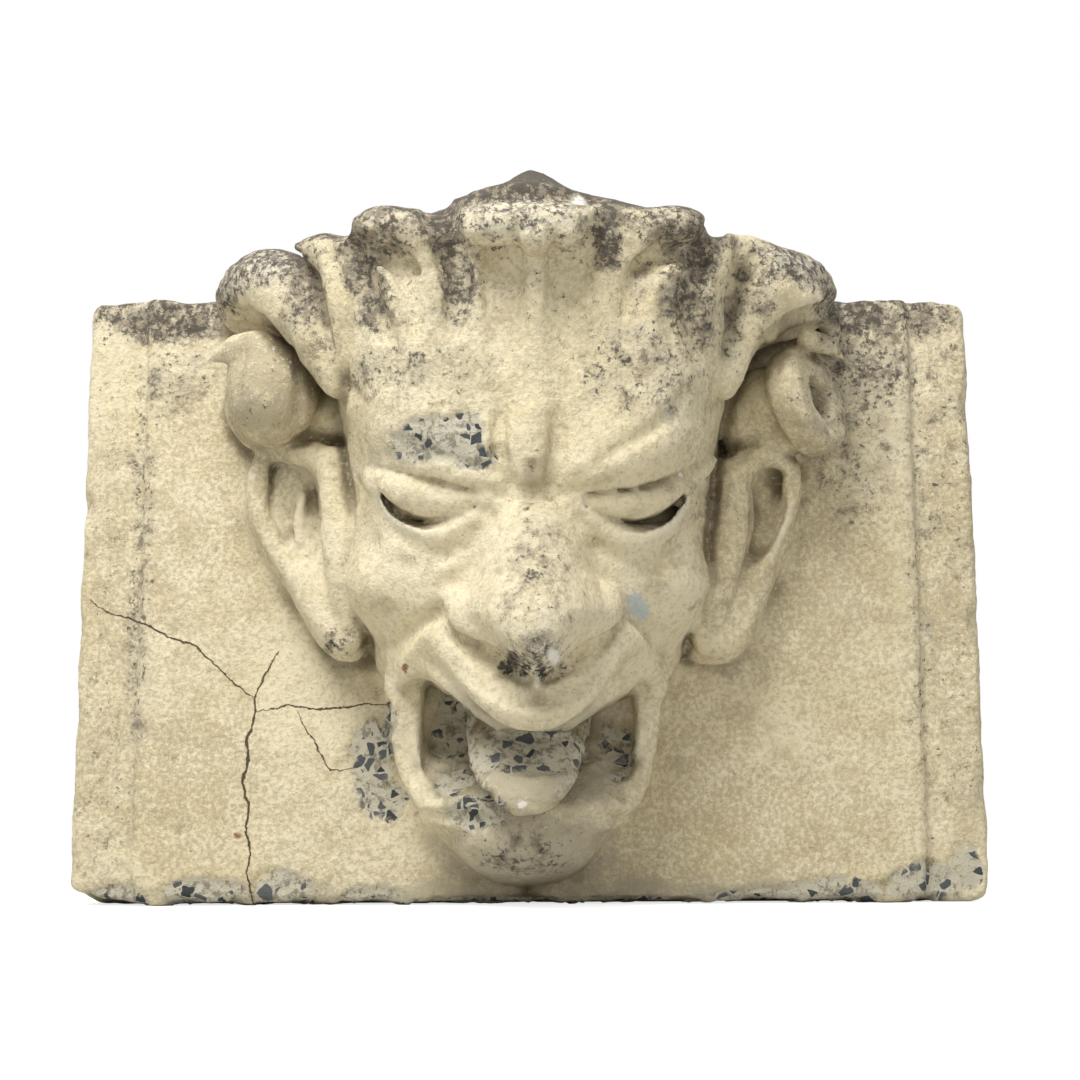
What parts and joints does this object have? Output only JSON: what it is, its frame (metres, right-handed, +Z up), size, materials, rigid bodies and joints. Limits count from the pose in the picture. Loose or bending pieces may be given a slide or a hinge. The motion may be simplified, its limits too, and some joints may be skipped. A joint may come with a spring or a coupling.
{
  "type": "mask corbel",
  "caption": "Rectangular cast stone corbel with a grotesque mask in high relief: fluted hair crest, side scrolls, long ears, open mouth and tongue.",
  "frame": {"origin": "centre of the slab's flat back bed", "axes": "+Z up the slab, mask facing -Y, +X to the right as seen from the front"},
  "size_m": [0.62, 0.2539, 0.478],
  "materials": {
    "cast_stone": "weathered cream cast stone, dark aggregate bare at the breaks"
  },
  "bodies": {
    "root": {"corbel": "cast_stone"}
  },
  "joints": []
}
